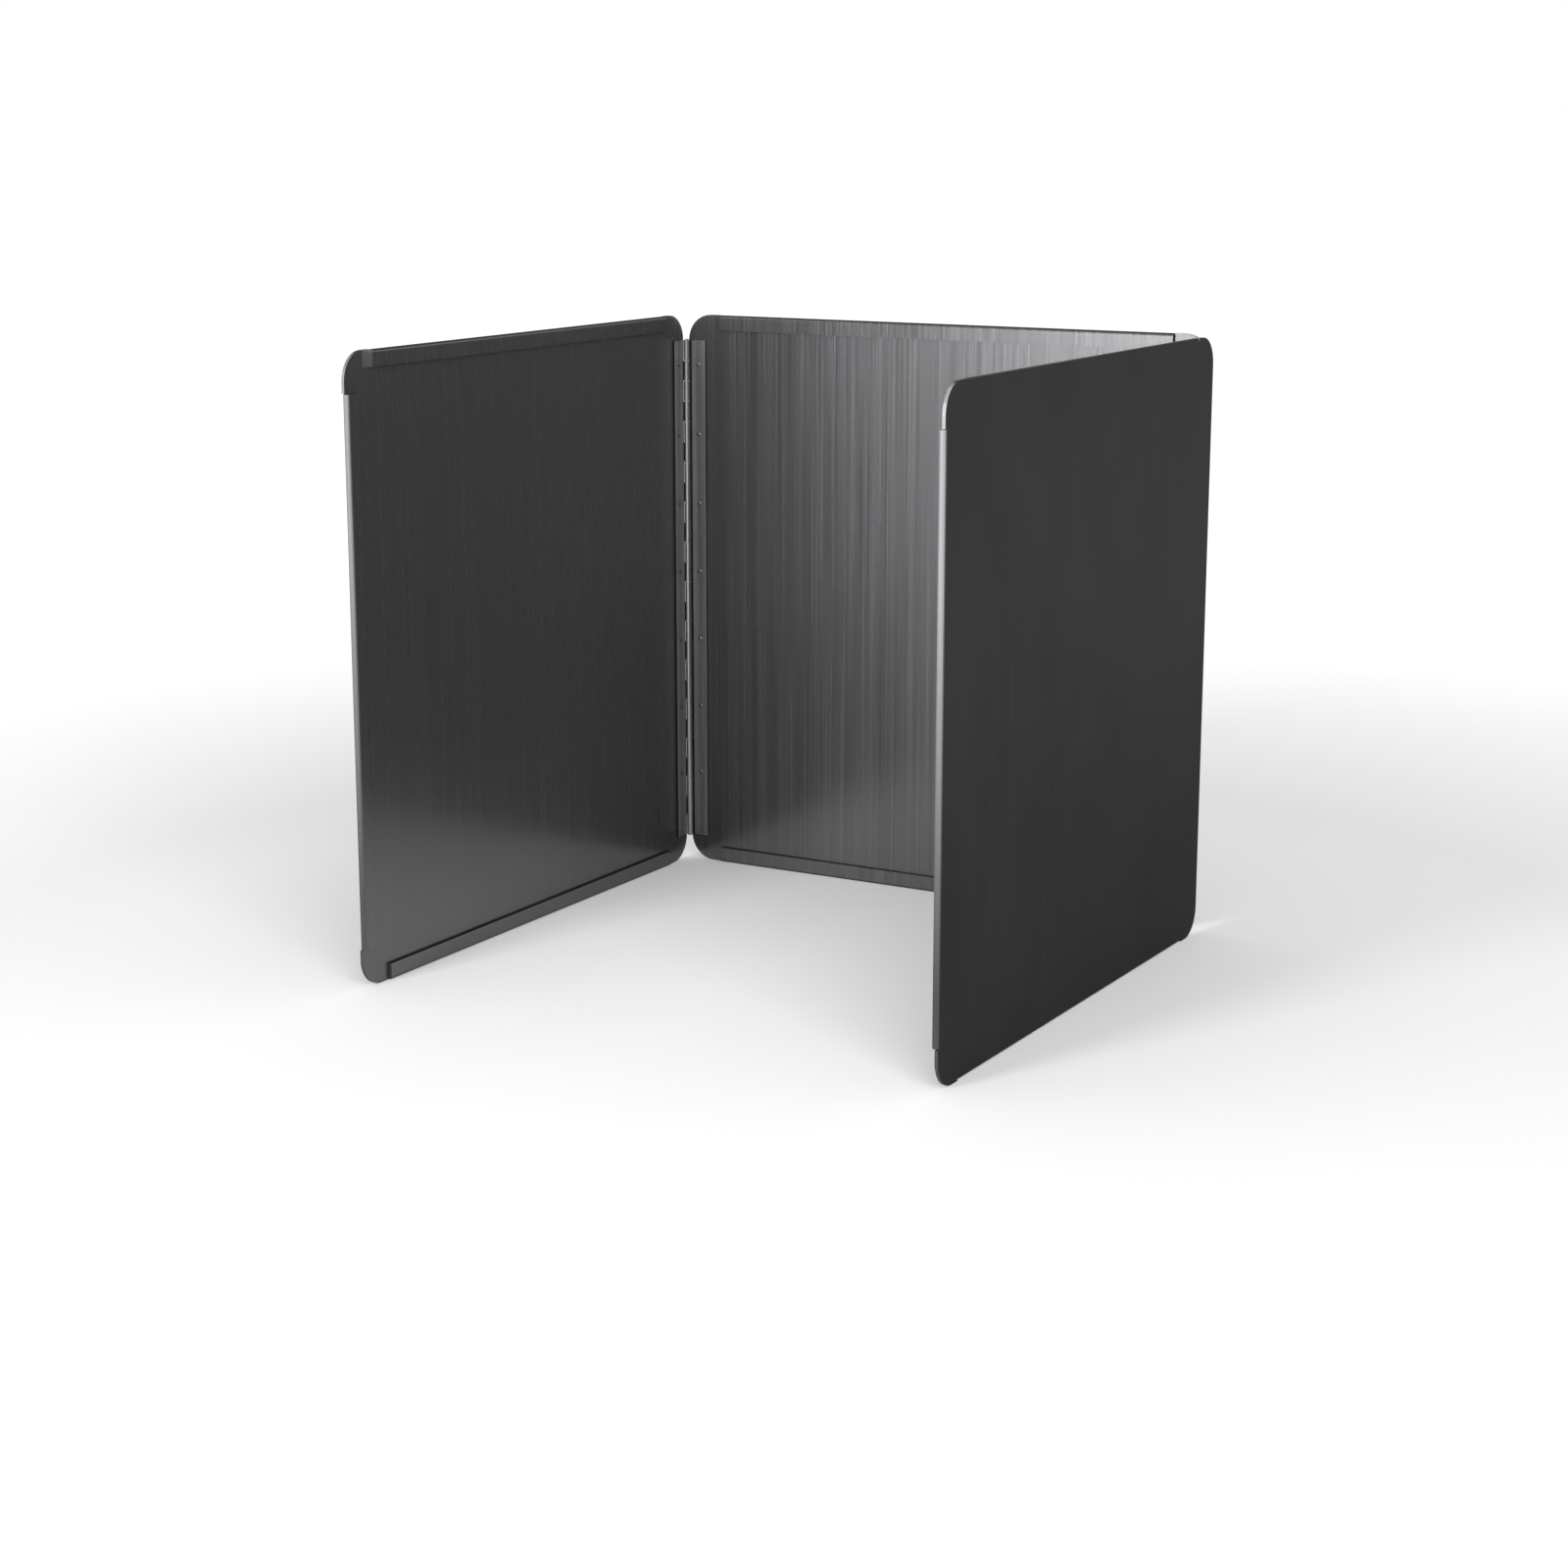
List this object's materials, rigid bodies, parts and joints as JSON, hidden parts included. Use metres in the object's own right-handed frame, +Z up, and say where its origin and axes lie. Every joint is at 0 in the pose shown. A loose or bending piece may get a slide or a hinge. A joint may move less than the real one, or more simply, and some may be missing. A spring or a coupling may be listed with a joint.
{
  "type": "folding splash guard",
  "caption": "Free-standing folding splash guard: hemmed dark sheet metal panels on full-height pin hinges, open as a U around a hob, folding flat.",
  "frame": {"origin": "centre of the footprint on the surface that the guard stands on, with both side panels square to the back panel", "axes": "+Z up, +X to the right across the back panel, +Y towards the back panel, so the open front faces -Y"},
  "size_m": [0.357, 0.345, 0.35],
  "materials": {
    "panel_metal": "dark brushed anodised aluminium sheet, satin outside",
    "hinge_metal": "dark satin steel strip",
    "pin_steel": "bright drawn wire",
    "rivet_metal": "dark domed rivet"
  },
  "bodies": {
    "back": {"back_panel": "panel_metal", "left_hinge_back_leaf": "hinge_metal", "right_hinge_back_leaf": "hinge_metal", "left_hinge_pin": "pin_steel", "right_hinge_pin": "pin_steel", "left_back_rivet_1": "rivet_metal", "left_back_rivet_2": "rivet_metal", "left_back_rivet_3": "rivet_metal", "left_back_rivet_4": "rivet_metal", "left_back_rivet_5": "rivet_metal", "left_back_rivet_6": "rivet_metal", "left_back_rivet_7": "rivet_metal", "right_back_rivet_1": "rivet_metal", "right_back_rivet_2": "rivet_metal", "right_back_rivet_3": "rivet_metal", "right_back_rivet_4": "rivet_metal", "right_back_rivet_5": "rivet_metal", "right_back_rivet_6": "rivet_metal", "right_back_rivet_7": "rivet_metal"},
    "left_wing": {"left_panel": "panel_metal", "left_hinge_side_leaf": "hinge_metal", "left_side_rivet_1": "rivet_metal", "left_side_rivet_2": "rivet_metal", "left_side_rivet_3": "rivet_metal", "left_side_rivet_4": "rivet_metal", "left_side_rivet_5": "rivet_metal", "left_side_rivet_6": "rivet_metal", "left_side_rivet_7": "rivet_metal"},
    "right_wing": {"right_panel": "panel_metal", "right_hinge_side_leaf": "hinge_metal", "right_side_rivet_1": "rivet_metal", "right_side_rivet_2": "rivet_metal", "right_side_rivet_3": "rivet_metal", "right_side_rivet_4": "rivet_metal", "right_side_rivet_5": "rivet_metal", "right_side_rivet_6": "rivet_metal", "right_side_rivet_7": "rivet_metal"}
  },
  "joints": [
    {"name": "left_hinge", "type": "hinge", "parent": "back", "child": "left_wing", "pos_m": [-0.1744, 0.1684, 0.175], "axis": [0, 0, 1], "range_deg": [-90, 90]},
    {"name": "right_hinge", "type": "hinge", "parent": "back", "child": "right_wing", "pos_m": [0.1744, 0.1641, 0.175], "axis": [0, 0, 1], "range_deg": [-90, 90]}
  ]
}
